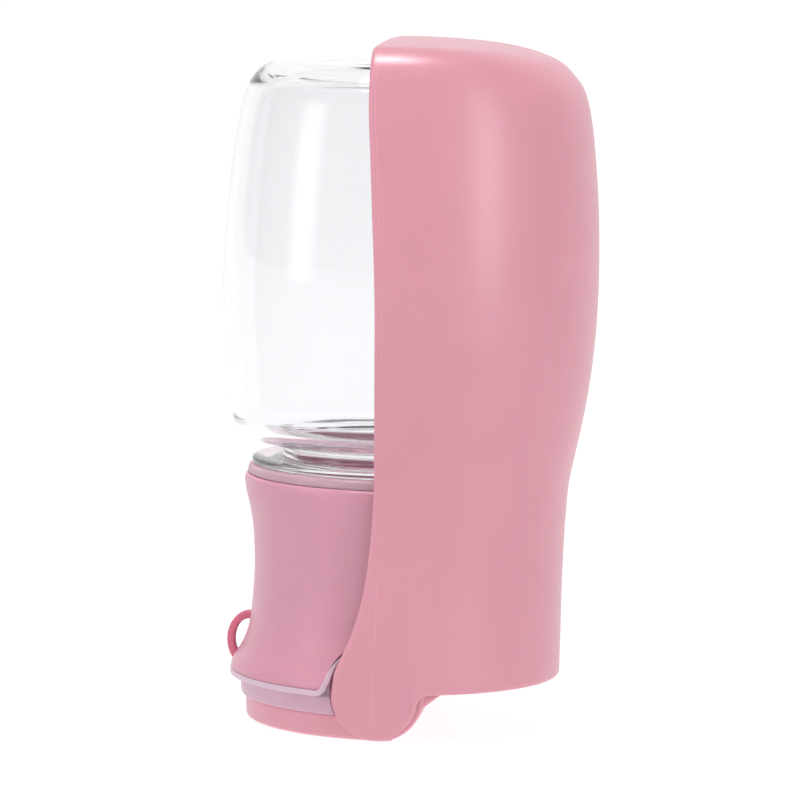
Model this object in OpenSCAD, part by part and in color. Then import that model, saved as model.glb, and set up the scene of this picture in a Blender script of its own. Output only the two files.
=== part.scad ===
/* [Hinge] */
// Height of the trough's hinge axis above the base
hinge_z = 11.3; // [11.2:0.1:11.4]
// Radius of the round ears at the foot of the trough
ear_r = 10.5; // [10:0.1:10.6]
// Radius of the steel hinge pins
pin_r = 2.5; // [2:0.1:3]
// Running clearance of the pins in the ears
pin_fit = 0.05; // [0.02:0.01:0.09]

/* [Trough] */
// Wall of the trough
trough_wall = 1.7; // [1.6:0.1:2.1]
// Radius of the domed end, swung from the hinge axis
dome_r = 159.2; // [159:0.1:159.6]
// Height of the open edge over the hinge axis
edge_up = 0.7; // [0.6:0.1:0.9]
// Fillet between each ear and the open edge
ear_fillet = 3; // [2:0.5:4]

/* [Bottle] */
// Wall of the clear bottle
bottle_wall = 2.2; // [1.6:0.1:2.6]
// Thickness of the bottle's base at its middle
bottle_base = 3; // [3:0.5:5]
// Outer radius of the neck
neck_r = 29; // [28.8:0.1:29.1]
// Radius of the clear flange above the cap
flange_r = 36.7; // [36:0.1:37]

/* [Thread] */
// Rise of the bottle in one turn
lead = 4; // [3.8:0.1:4.4]
// Turns of the ridge on the neck
thread_turns = 2; // [1.5:0.25:2.25]

/* [Cap] */
// Height of the cap's top edge
cap_top = 61.5; // [61.4:0.1:61.6]
// Height of the valve's axis
valve_z = 31; // [30.8:0.1:31.2]
// Radius of the push button
button_r = 9.2; // [8.5:0.1:9.3]
// Travel of the push button
button_travel = 3.2; // [2.5:0.1:3.4]
// Radius of the lanyard eye, to the middle of its band
eye_r = 4.75; // [4.5:0.05:5]

/* [Hidden] */
$fn = 96;

pink = [0.87, 0.61, 0.67];
deep_pink = [0.84, 0.43, 0.54];
clear = [0.92, 0.95, 0.96, 0.35];
frost = [0.9, 0.86, 0.88];
soft = [0.82, 0.7, 0.77];
white = [0.93, 0.93, 0.92];
steel = [0.75, 0.76, 0.78];
black = [0.15, 0.15, 0.16];

floor_z = 44;        // underside of the insert's floor
seal_z = 46.05;      // underside of the bottle's seal
mouth_z = 48.1;      // rim of the bottle's mouth
lip_low = 10.95;     // underside of the silicone lip
lip_top = 12.1;
cap_low = 12.2;      // underside of the cap
hub_r = 11.5;
hub_y = 37;          // flat end of each hub boss
ear_face = 37.9;     // inner face of each ear's boss
inlet_x = -17;
outlet_x = -5;
screw_at = [25.4, 14.8];
foot_x = 5.0;        // how far the flat foot reaches towards the trough
foot_y = 25.8;       // half the foot's width there, between the hub bosses

// ---- curves -------------------------------------------------------------

// A point of a smooth curve that runs through p1 and p2
function through(p0, p1, p2, p3, t) = 0.5 * (2 * p1 + (p2 - p0) * t + (2 * p0 - 5 * p1 + 4 * p2 - p3) * t * t
    + (3 * p1 - p0 - 3 * p2 + p3) * t * t * t);
// A smooth curve through every point of p, in n steps a span
function smooth(p, n) = [for (i = [0:len(p) - 2]) for (k = [0:n - 1])
    through(p[max(i - 1, 0)], p[i], p[i + 1], p[min(i + 2, len(p) - 1)], k / n), p[len(p) - 1]];
// The unit normal to the left of the way from a to b
function left(a, b) = let (d = b - a, l = norm(d)) [-d[1] / l, d[0] / l];
// The curve p moved by t to its left
function beside(p, t) = [for (i = [0:len(p) - 1]) p[i] + t * left(p[max(i - 1, 0)], p[min(i + 1, len(p) - 1)])];
// An arc about c from angle a to angle b
function arc(c, r, a, b, n) = [for (i = [0:n]) c + r * [cos(a + (b - a) * i / n), sin(a + (b - a) * i / n)]];

// Outer side of the bottle, from its base edge down to its shoulder: radius, height
bottle_side = smooth([[30, 164.7], [33.6, 164], [37.2, 161.4], [39.7, 157.2], [41.2, 151], [42.5, 143], [43.5, 133.5],
    [44.3, 123.5], [44.7, 112.5], [44.5, 102], [43.9, 92], [42.9, 84], [42.2, 78.5], [41.3, 74.2], [39.3, 71.5],
    [35.3, 69.95], [31, 69.6]], 2);
// Section of the trough beside its open side, from its open edge up and over its top, which falls a little to both sides
trough_side = smooth([[41.4, -2], [41.4, 12], [41.5, 24], [41.6, 37], [42, 50], [42.7, 60], [44, 67], [45.7, 75.5],
    [47.3, 85.5], [48.4, 96], [48.9, 107], [48.9, 118], [48.5, 128.5], [47.8, 139], [46.7, 150], [45.3, 157.8],
    [44.3, 162.4], [42.7, 166], [39.4, 168.5], [34.6, 169.5]], 3);
trough_outer = concat(trough_side, [[28, 169.9], [14, hinge_z + dome_r - 0.15], [0, hinge_z + dome_r]]);
trough_inner = [for (p = beside(trough_outer, trough_wall)) [max(0, p[0]), p[1]]];
// Side view of the trough's top, which curves about the hinge, and of its back corner
function top_z(x) = hinge_z + sqrt(dome_r * dome_r - x * x);
trough_back = concat([[-6, 172], [5, 171.2], [14, top_z(14)], [22, top_z(22)]],
    smooth([[29, top_z(29)], [35.2, top_z(35.2) - 0.1], [38.6, 164.9], [41.9, 161.8], [44.6, 157.6], [46.5, 150], [48.3, 141],
    [52, 128]], 2), [[80, 110]]);
// Waist of the cap, from its top edge down to where the flare begins
cap_waist = smooth([[38.4, 59.6], [37.9, 56.5], [37, 53], [36.2, 48.5], [35.75, 43], [35.6, 38], [35.75, 33],
    [36.1, 28], [36.5, 23.5]], 3);
// The flare round the half of the cap away from the trough
cap_flare = smooth([[36.1, 28], [36.6, 23.5], [37.6, 20], [39, 17], [40.4, 14.9], [41, 13.4], [41, 12.2]], 3);
// Side view of the trough's rim and wings, from the ears up: x, height
rim_line = smooth([[-10.5, 11.3], [-10.3, 16.3], [-8.4, 21.3], [-6.4, 26], [-4.8, 31], [-3.4, 37], [-2.4, 44],
    [-1.7, 52], [-1.2, 62], [-1, 75], [-1, 90], [-1.1, 105], [-1.6, 118], [-2.3, 130], [-3, 142], [-3.7, 152],
    [-3.95, 158], [-4, 164], [-4, 172]], 3);

// ---- helpers ------------------------------------------------------------

// A cylinder along X from x0 to x1 at the valve's height
module bar_x(x0, x1, r) { translate([x0, 0, valve_z]) rotate([0, 90, 0]) cylinder(h = x1 - x0, r = r); }
// A cylinder along Y from y0 to y1 on the hinge axis
module bar_y(y0, y1, r) { translate([0, y1, hinge_z]) rotate([90, 0, 0]) cylinder(h = y1 - y0, r = r); }
// Both of a pair either side of the middle plane
module both() { children(); mirror([0, 1, 0]) children(); }
// An upright cylinder
module post(x, y, z0, z1, r) { translate([x, y, z0]) cylinder(h = z1 - z0, r = r); }
// The part of space with x under x1
module behind(x1) { translate([x1 - 200, -100, -50]) cube([200, 200, 300]); }
// A ring of round section about a line along X
module ring_x(x, r, w) { translate([x, 0, valve_z]) rotate([0, 90, 0]) rotate_extrude() translate([r, 0]) circle(r = w, $fn = 24); }

// A thread ridge in eight short steps a turn: its foot lies at r0, its crest at r1
module ridge(r0, r1, z0, turns, foot, crest) {
    for (i = [0:8 * turns - 1]) rotate(45 * i) translate([0, 0, z0 + lead * i / 8]) rotate_extrude(angle = 45)
        polygon([[r0, -foot / 2], [r1, -crest / 2], [r1, crest / 2], [r0, foot / 2]]);
}

// A coil of round wire along X
module coil_x(x0, x1, r, w, turns) {
    steps = 20;
    n = steps * turns;
    sides = 8;
    pts = [for (i = [0:n]) let (a = 360 * i / steps, x = x0 + (x1 - x0) * i / n)
        for (j = [0:sides - 1]) let (b = 360 * j / sides, q = r + w * cos(b)) [x + w * sin(b), q * cos(a), q * sin(a) + valve_z]];
    faces = concat([[for (j = [0:sides - 1]) j]],
        [for (i = [0:n - 1]) for (j = [0:sides - 1]) let (a = i * sides + j, b = i * sides + (j + 1) % sides)
            each [[a, a + sides, b + sides], [a, b + sides, b]]],
        [[for (j = [0:sides - 1]) n * sides + sides - 1 - j]]);
    polyhedron(pts, faces, convexity = 6);
}

// ---- bottle -------------------------------------------------------------

module bottle() color(clear) union() {
    rotate_extrude() difference() {
        polygon(concat([[0, 163.7], [26, 163.7], [28, 164.7]], bottle_side,
            [[neck_r, 68.2], [neck_r, 65.75], [flange_r - 0.5, 65.75], [flange_r, 65.25], [flange_r, 64.5],
            [flange_r - 0.6, 63.95], [neck_r, 63.95], [neck_r, mouth_z], [neck_r - 2.2, mouth_z], [0, mouth_z]]));
        // the space inside
        polygon(concat([[0, 164.7 - bottle_base - 1.6], [20, 164.7 - bottle_base - 1.4], [31, 164.7 - bottle_base - 0.4]],
            [for (p = beside(bottle_side, -bottle_wall)) if (p[1] < 157 && p[1] > 72.05) p],
            [[31, 71.7], [neck_r - 2.2, 71.2], [neck_r - 2.2, mouth_z - 1], [0, mouth_z - 1]]));
    }
    ridge(neck_r - 0.4, neck_r + 1.35, 50.8, thread_turns, 2, 0.8);
}

// The frosted ring that the bottle's flange presses on the cap
module neck_ring() color(frost) rotate_extrude()
    polygon([[31.2, 61.55], [37.6, 61.55], [37.65, 62], [37.2, 63.6], [36.9, 63.9], [31.2, 63.9]]);

// Flat washer that the rim of the mouth seals on
module bottle_seal() color(white) rotate_extrude()
    polygon([[24, seal_z], [30.4, seal_z], [30.4, mouth_z - 0.05], [24, mouth_z - 0.05]]);

// ---- cap ----------------------------------------------------------------

module cap_shell() color(pink) difference() {
    union() {
        // waisted wall, all the way round
        rotate_extrude() difference() {
            polygon(concat([[33.4, cap_top], [37.6, cap_top], [38, 61.2]], cap_waist, [[36.6, cap_low], [33.4, cap_low]]));
            translate([0, 59]) square([35.9, 5]);
        }
        // flare round the half away from the trough, cut back round each ear
        difference() {
            intersection() {
                rotate_extrude() polygon(concat([[34, 28]], cap_flare, [[34, cap_low]]));
                behind(-0.5);
            }
            both() bar_y(28, 50, 13.2);
        }
        // posts for the screws of the base
        intersection() {
            union() for (x = [-1, 1], y = [-1, 1]) post(x * screw_at[0], y * screw_at[1], 17.05, 29, 4.2);
            post(0, 0, 17, 30, 34);
        }
    }
    // notches for the hub bosses
    both() bar_y(25.9, 50, hub_r + 0.1);
    // front hole for the button's bezel, and room for its flange
    bar_x(20, 45, 12.05);
    bar_x(20, 28, 13);
    // pilot holes of the posts
    for (x = [-1, 1], y = [-1, 1]) post(x * screw_at[0], y * screw_at[1], 16, 27, 1.5);
    // holes that the lanyard eye passes through
    eye_slot();
}

// Threaded cup welded into the cap; its floor carries the valve
module threaded_insert() color(white) union() {
    difference() {
        union() {
            rotate_extrude() polygon([[0, floor_z], [32.9, floor_z], [32.9, 59.05], [35.7, 59.05], [35.7, 61.4],
                [30.7, 61.4], [30.7, 46], [0, 46]]);
            // blind bosses for the valve's screws
            both() post(outlet_x, 14.5, 36.05, floor_z + 0.5, 3.6);
        }
        post(inlet_x, 0, 40, 50, 3);
        both() post(outlet_x, 14.5, 30, 43, 1.25);
    }
    ridge(31.1, 29.4, 50.8 - lead / 2, thread_turns + 0.25, 2, 0.8);
}

// ---- valve --------------------------------------------------------------

module valve_body() color(white) difference() {
    union() {
        bar_x(-28, 14, 9.5);
        bar_x(14, 17.5, 6.6);
        post(inlet_x, 0, valve_z, 42.8, 5);
        post(outlet_x, 0, 13.05, valve_z, 4.5);
        // lugs for the screws, under the insert's bosses
        translate([outlet_x - 4, -18.2, 33.5]) cube([8, 36.4, 2.5]);
    }
    bar_x(-30, -12, 7);         // spring chamber, fed from above
    bar_x(-14, -5, 4.5);        // throat
    bar_x(-9, 9, 6);            // outlet chamber
    bar_x(8, 20, 2.58);         // rod guide
    bar_x(14, 20, 4.4);         // seal pocket
    post(inlet_x, 0, valve_z, 45, 2.5);
    post(outlet_x, 0, 5, valve_z, 2.5);
    both() post(outlet_x, 14.5, 30, 40, 1.65);
    // groove of the ring round the outlet spigot
    translate([outlet_x, 0, 14.5]) difference() { cylinder(h = 1.9, r = 6); translate([0, 0, -1]) cylinder(h = 4, r = 3.6); }
}

module inlet_seal() color(black) difference() { post(inlet_x, 0, 42.85, 43.95, 4.8); post(inlet_x, 0, 42, 45, 3); }

module valve_screws() color(steel) both() difference() {
    union() { post(outlet_x, 14.5, 31.6, 33.45, 2.8); post(outlet_x, 14.5, 33.4, 42.6, 1.25); }
    translate([outlet_x, 14.5, 31]) cylinder(h = 1.6, r = 1.3, $fn = 6);
}

// Rod with the poppet head; the head shuts the throat from the spring's side
module plunger() color(white) union() {
    difference() { bar_x(-17, -13.6, 6.4); bar_x(-18, -15.8, 3.9); }
    bar_x(-13.7, 30.4, pin_r);
    bar_x(-12.8, -11, 3.6);
    bar_x(27, 28.4, 4.2);
}

module poppet_seal() color(black) difference() { bar_x(-13.55, -12.05, 6); bar_x(-14, -11, 3.65); }

module rod_seal() color(black) difference() { bar_x(14.1, 16, 4.35); bar_x(13, 17, 2.58); }

// Ring nut that holds the rod's seal
module rod_gland() color(white) difference() {
    union() { bar_x(16.05, 18, 4.35); bar_x(17.55, 19.5, 6.2); }
    bar_x(15, 21, 2.75);
}

module return_spring() color(steel) coil_x(-25.4, -17.5, 5, 0.45, 4);

module end_plug() color(white) difference() {
    union() { bar_x(-29, -25.95, 6.9); bar_x(-30.2, -28.05, 9); }
    // groove of its ring, and the driver slot
    translate([-27.6, 0, valve_z]) rotate([0, 90, 0]) difference() { cylinder(h = 1.2, r = 8); translate([0, 0, -1]) cylinder(h = 4, r = 5.6); }
    translate([-31, -5, valve_z - 0.6]) cube([1.8, 10, 1.2]);
}

module end_plug_ring() color(black) ring_x(-27, 6.25, 0.55);

// ---- button -------------------------------------------------------------

module button() color(pink) difference() {
    union() {
        // crowned face on a straight skirt
        translate([0, 0, valve_z]) rotate([0, 90, 0]) rotate_extrude()
            polygon(concat([[0, 28.5]], [[button_r, 28.5], [button_r, 29.9], [button_r + 1, 29.9], [button_r + 1, 31.4], [button_r, 31.4], [button_r, 37.1]],
                [for (i = [0:6]) let (a = i * 15) [(button_r - 0.8) + 0.8 * cos(a), 37.1 + 0.7 * sin(a)]],
                [for (i = [1:6]) let (r = (button_r - 0.8) * (1 - i / 6)) [r, 37.8 + 0.8 * (1 - pow(r / (button_r - 0.8), 2))]]));
    }
    // hollow behind the face, with the rod's socket left standing
    difference() { bar_x(28, 36, button_r - 1.8); bar_x(28.45, 37, 4.6); }
    bar_x(20, 30.5, pin_r);
}

module button_bezel() color(pink) difference() {
    union() { bar_x(26, 36, 12); bar_x(26, 27.6, 12.9); }
    bar_x(20, 31.5, button_r + 1.3);
    bar_x(30, 40, button_r + 0.3);
}

// ---- base ---------------------------------------------------------------

// The half disc that closes the open trough, and the hub of the hinge
module base_shell() color(pink) difference() {
    union() {
        difference() {
            intersection() {
                rotate_extrude() polygon([[0, 0], [35.5, 0], [36.5, 0.4], [37, 1.3], [37.15, 3], [37.4, 5.8], [37, 5.8],
                    [37, 12.1], [33.2, 12.1], [33.2, 17], [0, 17]]);
                // the foot runs on a little between the hub bosses, under the middle of the weight
                union() { behind(3.6); translate([-50, -foot_y, -1]) cube([50 + foot_x, 2 * foot_y, 30]); }
            }
            // the space inside, open to the cap
            intersection() { post(0, 0, 2.2, 30, 31.4); behind(0.8); }
            intersection() { post(0, 0, 2.2, 12, 34.8); behind(0.8); }
            translate([0, -22, 2.2]) cube([foot_x - 2.4, 44, 30]);
            both() bar_y(36.9, 60, 12);
        }
        // floor of the half that the trough covers
        intersection() { post(0, 0, cap_low, 14.4, 33.2); translate([3, -50, 0]) cube([50, 100, 40]); }
        // hub bosses
        intersection() { both() bar_y(26, hub_y, hub_r); translate([-50, -50, 0]) cube([100, 100, 60]); }
        // gusset between each boss and the cap's underside
        difference() {
            intersection() {
                both() translate([0, hub_y, 0]) rotate([90, 0, 0]) linear_extrude(height = hub_y - 26)
                    polygon([[8, 7], [10.7, 7.4], [11.6, 8.6], [16, 11.8], [17.3, 12.3], [8, 12.3]]);
                post(0, 0, 5, 20, 38.3);
            }
            difference() { post(0, 0, 12.1, 13, 50); post(0, 0, 12, 14, 33.15); }
        }
        intersection() {
            union() for (x = [-1, 1], y = [-1, 1]) post(x * screw_at[0], y * screw_at[1], x < 0 ? 1 : cap_low, 17, 4.2);
            post(0, 0, 0, 20, 33.2);
        }
        // socket of the outlet spigot
        post(outlet_x, 0, 1, 17, 7);
    }
    both() bar_y(23.9, 50, pin_r);
    for (x = [-1, 1], y = [-1, 1]) {
        post(x * screw_at[0], y * screw_at[1], -1, 14.2, 3.2);
        post(x * screw_at[0], y * screw_at[1], 10, 20, 1.65);
    }
    post(outlet_x, 0, 13, 20, 4.6);
    post(outlet_x, 0, -1, 20, 2.6);
    post(outlet_x, 0, -1, 1.2, 4);
    eye_slot();
}

module outlet_ring() color(black) difference() { post(outlet_x, 0, 14.6, 16.3, 4.58); post(outlet_x, 0, 14, 17, 3.65); }

module base_screws() color(steel) for (x = [-1, 1], y = [-1, 1]) translate([x * screw_at[0], y * screw_at[1], 0]) difference() {
    union() { translate([0, 0, 12.4]) cylinder(h = 1.78, r = 2.9); translate([0, 0, 14]) cylinder(h = 12, r = 1.5); }
    translate([0, 0, 12]) for (a = [0, 90]) rotate(a) translate([-1.9, -0.4, 0]) cube([3.8, 0.8, 1.3]);
}

// Soft lip and band round the half disc, with a tail up beside each ear
module lip_seal() color(soft) difference() {
    intersection() {
        union() {
            rotate_extrude() polygon([[37.05, 5.85], [38.1, 5.85], [38.4, 6.3], [38.75, lip_low], [40.9, lip_low],
                [41.3, 11.3], [41.3, 11.7], [41, lip_top], [37.05, lip_top]]);
            // tails
            intersection() {
                rotate_extrude() polygon(concat([for (p = cap_flare) if (p[1] < 20.5) p + [0.15, 0]], [[41.1, 11], [37.05, 11], [37.05, 12.15], [36.65, 12.15], [36.65, 20]]));
                both() difference() { bar_y(30, 50, 13.1); bar_y(29, 51, 12); }
                translate([-50, -50, 11.5]) cube([100, 100, 20]);
            }
        }
        behind(-0.5);
    }
    both() bar_y(30, 60, 12);
}

module hinge_pins() color(steel) both() bar_y(24, 40.1, pin_r);

module ear_washers() color(white) both() difference() { bar_y(hub_y + 0.05, ear_face - 0.05, 7.5); bar_y(30, 50, pin_r + 0.1); }

// ---- trough -------------------------------------------------------------

// The outline seen from the side, as a slab right across the object: the rim, over the top, along the open edge,
// round the fillet and round the ear
module trough_slab() {
    zc = edge_up - ear_fillet;
    xc = sqrt(pow(ear_r + ear_fillet, 2) - zc * zc);
    t = atan2(-zc, xc);
    translate([0, 60, 0]) rotate([90, 0, 0]) linear_extrude(height = 120)
        polygon(concat(rim_line, trough_back, [[80, hinge_z + edge_up]],
            [for (p = arc([xc, zc], ear_fillet, 90, 180 - t, 5)) p + [0, hinge_z]],
            [for (p = arc([0, 0], ear_r, -t, -176, 24)) p + [0, hinge_z]]));
}

// A solid with the given side: round in front, straight-sided behind the middle
module half_round(side) {
    rotate(-90) rotate_extrude(angle = 180) polygon(concat([[0, -2]], side));
    translate([-14, 0, 0]) rotate([90, 0, 90]) linear_extrude(height = 14)
        polygon(concat(side, [for (i = [1:len(side) - 1]) let (p = side[len(side) - 1 - i]) [-p[0], p[1]]]));
}

module trough() color(pink) difference() {
    union() {
        difference() {
            intersection() { union() half_round(trough_outer); trough_slab(); }
            intersection() {
                half_round(concat([[trough_inner[0][0], -3]], trough_inner));
                translate([0, 60, 0]) rotate([90, 0, 0]) linear_extrude(height = 120)
                    polygon(concat([[-30, -9], [-30, 172 - trough_wall]], beside(trough_back, -trough_wall), [[80, -9]]));
            }
        }
        // thick boss inside each ear
        intersection() { both() bar_y(ear_face, 40.5, 9); post(0, 0, -5, 30, 41); }
    }
    both() bar_y(ear_face - 5, 40.3, pin_r + pin_fit);
}

// ---- lanyard eye --------------------------------------------------------

// A soft ring threaded through two holes in the cap's wall
module lanyard_eye() color(deep_pink) translate([-36.9, 1.5, 19.4]) rotate([90, 0, 0]) rotate_extrude() translate([eye_r, 0])
    polygon([[-1, 0.5], [-0.5, 0], [0.5, 0], [1, 0.5], [1, 2.5], [0.5, 3], [-0.5, 3], [-1, 2.5]]);

// The curved slot that the eye passes through
module eye_slot() translate([-36.9, 1.55, 19.4]) rotate([90, 0, 0]) difference() {
    cylinder(h = 3.1, r = eye_r + 1.05);
    translate([0, 0, -1]) cylinder(h = 6, r = eye_r - 1.05);
}

bottle();
neck_ring();
bottle_seal();
cap_shell();
threaded_insert();
inlet_seal();
valve_body();
valve_screws();
plunger();
poppet_seal();
rod_seal();
rod_gland();
return_spring();
end_plug();
end_plug_ring();
button();
button_bezel();
outlet_ring();
base_shell();
base_screws();
lip_seal();
hinge_pins();
ear_washers();
trough();
lanyard_eye();
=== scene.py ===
import math

import bmesh
import bpy
import numpy as np
from mathutils import Matrix, Vector


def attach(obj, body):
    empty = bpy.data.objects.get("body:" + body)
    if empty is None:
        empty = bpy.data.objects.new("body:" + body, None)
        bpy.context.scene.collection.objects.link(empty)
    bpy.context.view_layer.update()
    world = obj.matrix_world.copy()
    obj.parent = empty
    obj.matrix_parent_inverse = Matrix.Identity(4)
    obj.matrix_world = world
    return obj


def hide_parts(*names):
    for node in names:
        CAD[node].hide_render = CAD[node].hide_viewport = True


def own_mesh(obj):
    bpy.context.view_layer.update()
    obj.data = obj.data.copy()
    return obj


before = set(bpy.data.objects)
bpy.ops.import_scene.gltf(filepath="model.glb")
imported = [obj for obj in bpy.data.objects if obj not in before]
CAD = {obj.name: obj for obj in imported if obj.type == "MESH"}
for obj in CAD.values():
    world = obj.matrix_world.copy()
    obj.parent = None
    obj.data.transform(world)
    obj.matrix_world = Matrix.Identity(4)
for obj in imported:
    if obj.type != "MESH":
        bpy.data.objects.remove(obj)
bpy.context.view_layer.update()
scene = bpy.context.scene
MM = 0.001
PI = math.pi

# ---------------------------------------------------------------- camera
az, el, roll = math.radians(6.5), math.radians(6.15), math.radians(1.18)
back = Vector((math.sin(az) * math.cos(el), -math.cos(az) * math.cos(el), math.sin(el)))
right = Vector((math.cos(az), math.sin(az), 0))
up = back.cross(right)
right, up = right * math.cos(roll) + up * math.sin(roll), up * math.cos(roll) - right * math.sin(roll)
DIST = 1.227
cam_data = bpy.data.cameras.new("camera")
cam = bpy.data.objects.new("camera", cam_data)
scene.collection.objects.link(cam)
cam_data.sensor_width = 36
cam_data.lens = 36 * DIST / 0.2
cam_data.clip_end = 60
cam_data.dof.use_dof = False
place = Matrix((right, up, back)).transposed().to_4x4()
place.translation = Vector((0, 0, 0.080)) + back * DIST
cam.matrix_world = place
scene.camera = cam

# ---------------------------------------------------------------- mesh tools (all sizes in mm)
H = 11.3                 # height of the hinge axis
STEPS = 160              # segments of a full turn on the large round pieces


def catmull(p, n):
    """A smooth curve through every point of p, n steps a span."""
    out = []
    for i in range(len(p) - 1):
        a, b, c, d = [np.array(p[max(0, min(len(p) - 1, k))], float) for k in (i - 1, i, i + 1, i + 2)]
        for k in range(n):
            t = k / n
            out.append(0.5 * (2 * b + (c - a) * t + (2 * a - 5 * b + 4 * c - d) * t * t + (3 * b - a - 3 * c + d) * t ** 3))
    out.append(np.array(p[-1], float))
    return out


def arc(c, r, a, b, n):
    return [(c[0] + r * math.cos(math.radians(a + (b - a) * i / n)), c[1] + r * math.sin(math.radians(a + (b - a) * i / n)))
            for i in range(n + 1)]


def beside(p, t):
    """The curve p moved by t to its left."""
    out = []
    for i in range(len(p)):
        a, b = np.array(p[max(i - 1, 0)], float), np.array(p[min(i + 1, len(p) - 1)], float)
        d = b - a
        out.append(np.array(p[i], float) + t * np.array((-d[1], d[0])) / np.linalg.norm(d))
    return out


def table_of(p, key=1):
    """Interpolates one coordinate of a curve from the other one."""
    q = sorted(((float(a[key]), float(a[1 - key])) for a in p), key=lambda v: v[0])
    xs, ys = [v[0] for v in q], [v[1] for v in q]
    return lambda z: float(np.interp(z, xs, ys))


def step(a, b, x):
    t = min(1.0, max(0.0, (x - a) / (b - a)))
    return t * t * (3 - 2 * t)


class Form:
    """Vertices, faces and a per-vertex edge weight, which the materials paint as a lighter highlight, gathered before
    they become a mesh.
    """

    def __init__(self):
        self.v, self.f, self.e = [], [], []

    def pt(self, p, e=0.0):
        self.v.append((float(p[0]), float(p[1]), float(p[2])))
        self.e.append(e)
        return len(self.v) - 1

    def row(self, pts, e=0.0):
        return [self.pt(p, e) for p in pts]

    def grid(self, rows, closed=False):
        for a, b in zip(rows[:-1], rows[1:]):
            n = len(a)
            for k in range(n if closed else n - 1):
                self.f.append((a[k], a[(k + 1) % n], b[(k + 1) % n], b[k]))

    def join(self, other, flip_y=False):
        base = len(self.v)
        for (x, y, z), e in zip(other.v, other.e):
            self.v.append((x, -y if flip_y else y, z))
            self.e.append(e)
        for f in other.f:
            g = tuple(base + i for i in f)
            self.f.append(g[::-1] if flip_y else g)
        return self

    def both(self):
        """The form with its mirror image across the XZ plane."""
        return Form().join(self).join(self, flip_y=True)


def turned(axis, at=(0, 0, 0)):
    """A point (r, h, angle) placed about a line along X, Y or Z."""
    def put(r, h, a):
        c, s = r * math.cos(a), r * math.sin(a)
        return {"z": (at[0] + c, at[1] + s, h), "x": (h, at[1] + c, at[2] + s), "y": (at[0] + c, h, at[2] + s)}[axis]
    return put


def lathe(prof, n=STEPS, axis="z", at=(0, 0, 0), edges=()):
    """A closed profile of (r, h) points turned right round. edges lists the points that get edge weight, which the
    materials paint as a highlight.
    """
    m, put, rows = Form(), turned(axis, at), []
    for i, (r, h) in enumerate(prof):
        e = 1.0 if i in edges else 0.0
        if r < 1e-6:
            k = m.pt(put(0, h, 0), e)
            rows.append([k] * n)
        else:
            rows.append(m.row([put(r, h, 2 * PI * k / n) for k in range(n)], e))
    for a, b in zip(rows, rows[1:] + rows[:1]):
        for k in range(n):
            j = (k + 1) % n
            q = [a[k], a[j], b[j], b[k]]
            q = [v for i, v in enumerate(q) if v != q[i - 1]]
            if len(set(q)) >= 3:
                m.f.append(tuple(q))
    return m


def sweep(path, ups, section, closed=False, scale=None):
    """A closed section of (across, up) points carried along a path."""
    m, rows, n = Form(), [], len(path)
    for i in range(n):
        p = np.array(path[i], float)
        a = np.array(path[(i - 1) % n if closed else max(i - 1, 0)], float)
        b = np.array(path[(i + 1) % n if closed else min(i + 1, n - 1)], float)
        t = (b - a) / np.linalg.norm(b - a)
        u = np.array(ups[i], float)
        u -= t * np.dot(u, t)
        u /= np.linalg.norm(u)
        s = np.cross(t, u)
        k = 1.0 if scale is None else scale[i]
        k = (k, k) if np.isscalar(k) else k
        rows.append(m.row([p + s * q[0] * k[0] + u * q[1] * k[1] for q in section]))
    if closed:
        rows.append(rows[0])
    m.grid(rows, closed=True)
    if not closed:
        m.f.append(tuple(rows[0][::-1]))
        m.f.append(tuple(rows[-1]))
    return m


def make(name, form, mat, angle=32, weld=0.0004, cut=None):
    bm = bmesh.new()
    layer = bm.verts.layers.float.new("edge")
    vs = []
    for p, e in zip(form.v, form.e):
        v = bm.verts.new([c * MM for c in p])
        v[layer] = e
        vs.append(v)
    for f in form.f:
        q = []
        for i in f:
            if not q or vs[i] is not q[-1]:
                q.append(vs[i])
        if len(q) > 2 and q[0] is q[-1]:
            q.pop()
        if len(set(q)) == len(q) and len(q) > 2:
            try:
                bm.faces.new(q)
            except ValueError:
                pass
    bmesh.ops.remove_doubles(bm, verts=bm.verts, dist=weld * MM)
    bmesh.ops.dissolve_degenerate(bm, edges=bm.edges, dist=weld * MM * 0.5)
    bmesh.ops.recalc_face_normals(bm, faces=bm.faces)
    me = bpy.data.meshes.new(name)
    bm.to_mesh(me)
    bm.free()
    ob = bpy.data.objects.new(name, me)
    scene.collection.objects.link(ob)
    if cut is not None:
        tool = make(name + "_cut", cut, None)
        mod = ob.modifiers.new("cut", "BOOLEAN")
        mod.operation, mod.solver, mod.object = "DIFFERENCE", "EXACT", tool
        done = bpy.data.meshes.new_from_object(ob.evaluated_get(bpy.context.evaluated_depsgraph_get()))
        ob.modifiers.clear()
        ob.data = done
        me = done
        me.name = name
        bpy.data.objects.remove(tool)
    me.polygons.foreach_set("use_smooth", [True] * len(me.polygons))
    me.set_sharp_from_angle(angle=math.radians(angle))
    if mat is not None:
        me.materials.clear()
        me.materials.append(mat)
    return ob


def open_edges(ob):
    bm = bmesh.new()
    bm.from_mesh(ob.data)
    n = sum(1 for e in bm.edges if not e.is_manifold)
    bm.free()
    return n


# ---------------------------------------------------------------- materials
def nodes_of(name):
    mat = bpy.data.materials.new(name)
    mat.use_nodes = True
    nt = mat.node_tree
    nt.nodes.clear()
    out = nt.nodes.new("ShaderNodeOutputMaterial")
    bsdf = nt.nodes.new("ShaderNodeBsdfPrincipled")
    nt.links.new(bsdf.outputs["BSDF"], out.inputs["Surface"])
    return mat, nt, bsdf


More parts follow.
